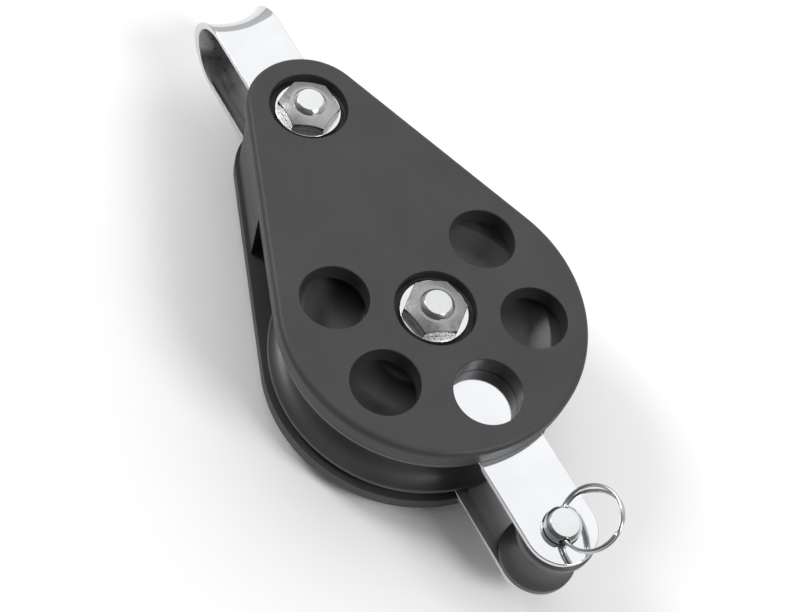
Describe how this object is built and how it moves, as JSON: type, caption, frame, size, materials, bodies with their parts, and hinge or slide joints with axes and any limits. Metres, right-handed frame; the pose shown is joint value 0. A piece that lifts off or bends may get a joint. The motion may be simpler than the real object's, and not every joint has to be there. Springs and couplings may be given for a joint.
{
  "type": "single sheave block",
  "caption": "Single rope block with two teardrop cheeks, a grooved sheave, a looped strap as its head eye and a clevis-pin becket with a thimble and split ring.",
  "frame": {"origin": "centre of the sheave: on the axle's axis, midway between the cheeks", "axes": "+X from the axle towards the becket, +Z along the axle towards the nuts, +Y completes the right-handed frame; the block lies on its bolt heads"},
  "size_m": [0.1668, 0.072, 0.0413],
  "materials": {
    "cheek_plastic": "fine matte moulded plastic, dark grey",
    "sheave_plastic": "satin black acetal",
    "polished_strap": "mirror-polished stainless steel",
    "stainless": "bright stainless steel"
  },
  "bodies": {
    "block": {"front_cheek": "cheek_plastic", "back_cheek": "cheek_plastic", "strap": "polished_strap", "axle_sleeve": "stainless", "head_spacer": "stainless", "bolts": "stainless", "nuts": "stainless", "washers": "stainless"},
    "sheave": {"sheave": "sheave_plastic"},
    "thimble": {"becket_thimble": "sheave_plastic"},
    "pin": {"clevis_pin": "stainless"},
    "ring": {"split_ring": "stainless"}
  },
  "joints": [
    {"name": "sheave_spin", "type": "hinge", "parent": "block", "child": "sheave", "pos_m": [0, 0, 0], "axis": [0, 0, 1], "continuous": true},
    {"name": "thimble_spin", "type": "hinge", "parent": "block", "child": "thimble", "pos_m": [0.0553, 0, 0], "axis": [0, 0, 1], "continuous": true},
    {"name": "pin_turn", "type": "hinge", "parent": "block", "child": "pin", "pos_m": [0.0553, 0, 0], "axis": [0, 0, 1], "continuous": true},
    {"name": "ring_swing", "type": "hinge", "parent": "pin", "child": "ring", "pos_m": [0.0553, 0, 0.01175], "axis": [0.866, -0.5, 0], "range_deg": [-47, 137]}
  ]
}
